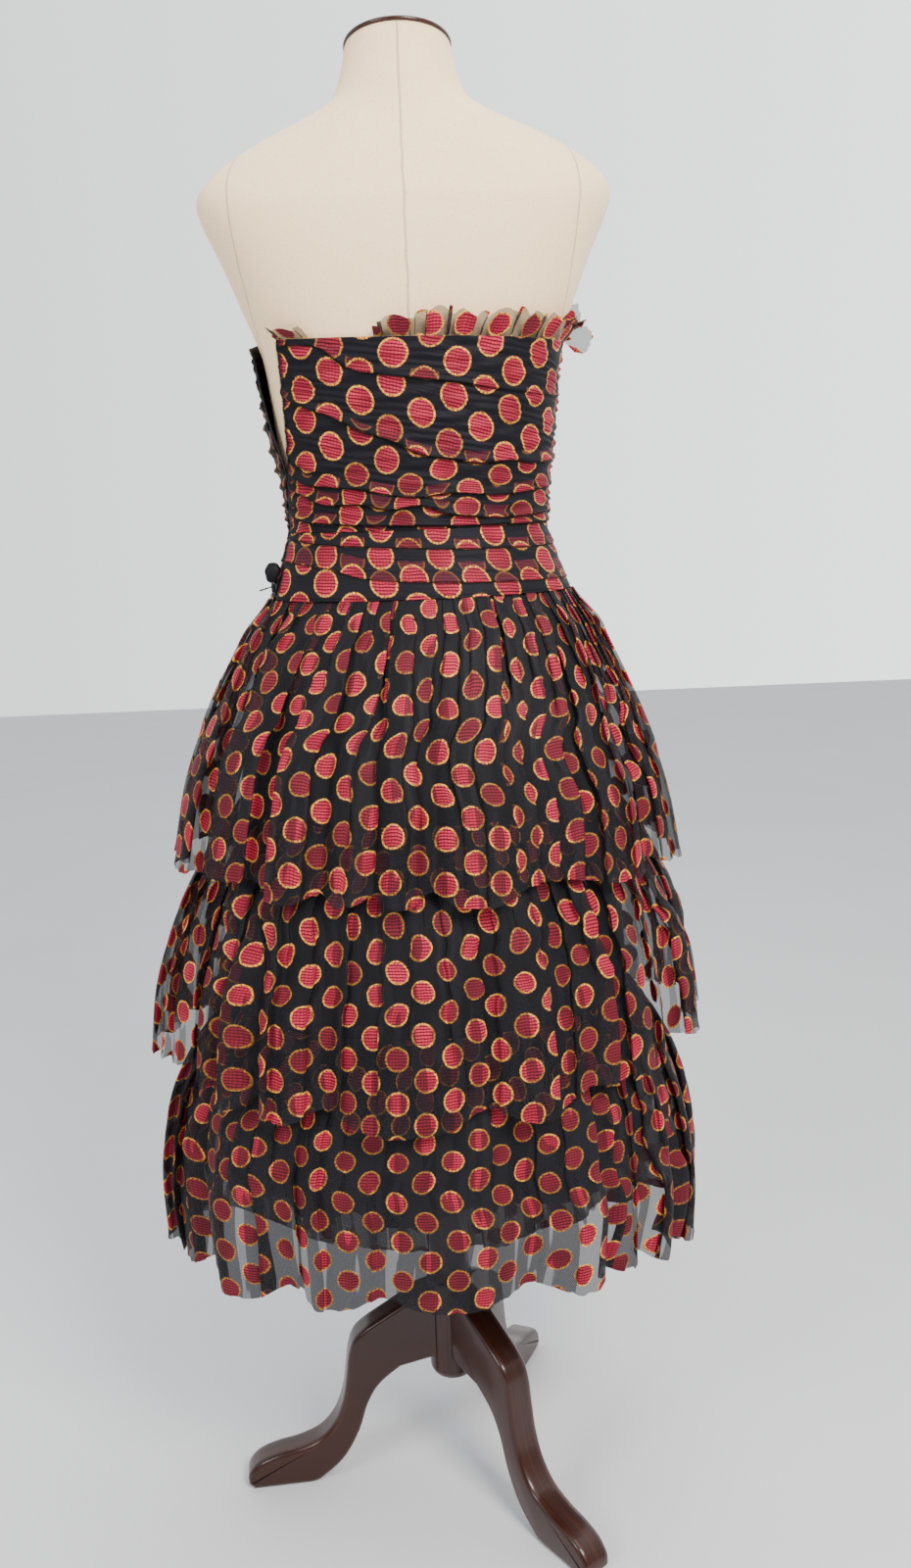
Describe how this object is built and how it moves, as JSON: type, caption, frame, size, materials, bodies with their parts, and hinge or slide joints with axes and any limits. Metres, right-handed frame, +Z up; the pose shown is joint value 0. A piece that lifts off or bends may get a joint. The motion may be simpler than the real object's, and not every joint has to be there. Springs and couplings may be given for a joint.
{
  "type": "strapless party dress on a limbless dress form with a tripod stand",
  "caption": "Strapless dress with a ruched bodice, smooth hip yoke, net frill and gathered net tiers over a black underskirt, side zip undone, worn on a dress form on a wooden tripod.",
  "frame": {"origin": "on the floor under the middle of the whole object's footprint", "axes": "+Z up, -Y towards the dress's back, +X towards the wearer's right"},
  "size_m": [0.5702, 0.4554, 1.5069],
  "materials": {
    "linen": "matt ecru linen with fine slubs",
    "mahogany": "glossy dark mahogany",
    "dotted_net": "black net with coral-red woven dots edged in gold thread",
    "black_lining": "matt black lining",
    "zip_chain": "dark grey coil",
    "black_metal": "black enamel"
  },
  "bodies": {
    "dressed_form": {"form_torso": "linen", "neck_cap": "mahogany", "stand_pole": "mahogany", "stand_hub": "mahogany", "stand_leg_1": "mahogany", "stand_leg_2": "mahogany", "stand_leg_3": "mahogany", "bodice_back": "dotted_net", "bodice_front": "dotted_net", "yoke_back": "dotted_net", "yoke_front": "dotted_net", "frill_back": "dotted_net", "frill_front": "dotted_net", "frill_tucked": "dotted_net", "tier_1": "dotted_net", "tier_2": "dotted_net", "tier_3": "dotted_net", "lining": "black_lining", "zip_guard_bow": "black_lining", "zip_chain_back": "zip_chain", "zip_chain_front": "zip_chain", "zip_slider": "black_metal"},
    "pull_tab": {"zip_pull": "black_metal"}
  },
  "joints": [
    {"name": "pull_tab_hinge", "type": "hinge", "parent": "dressed_form", "child": "pull_tab", "pos_m": [-0.13411, -0.02917, 1.001], "axis": [-0.3281, 0.9446, 0], "range_deg": [-40, 60]}
  ]
}
